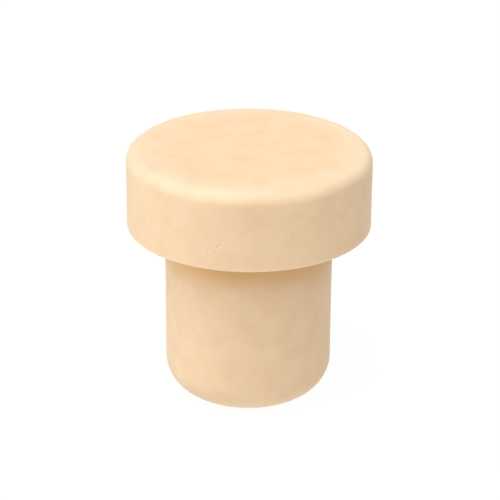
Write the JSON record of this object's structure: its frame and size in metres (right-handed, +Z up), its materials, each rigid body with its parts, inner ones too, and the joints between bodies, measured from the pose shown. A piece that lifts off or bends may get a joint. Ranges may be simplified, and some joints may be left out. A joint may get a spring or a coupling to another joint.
{
  "type": "bottle stopper",
  "caption": "T-shaped solid silicone stopper: a round head over a straight shank with a rounded foot that seals a bottle's neck.",
  "frame": {"origin": "centre of the flat foot that the stopper stands on", "axes": "+Z up along the axis of revolution, from the foot to the head; X and Y are free, because the form is round"},
  "size_m": [0.029, 0.029, 0.0309],
  "materials": {
    "silicone": "matte moulded silicone, beige all through"
  },
  "bodies": {
    "root": {"stopper": "silicone"}
  },
  "joints": []
}
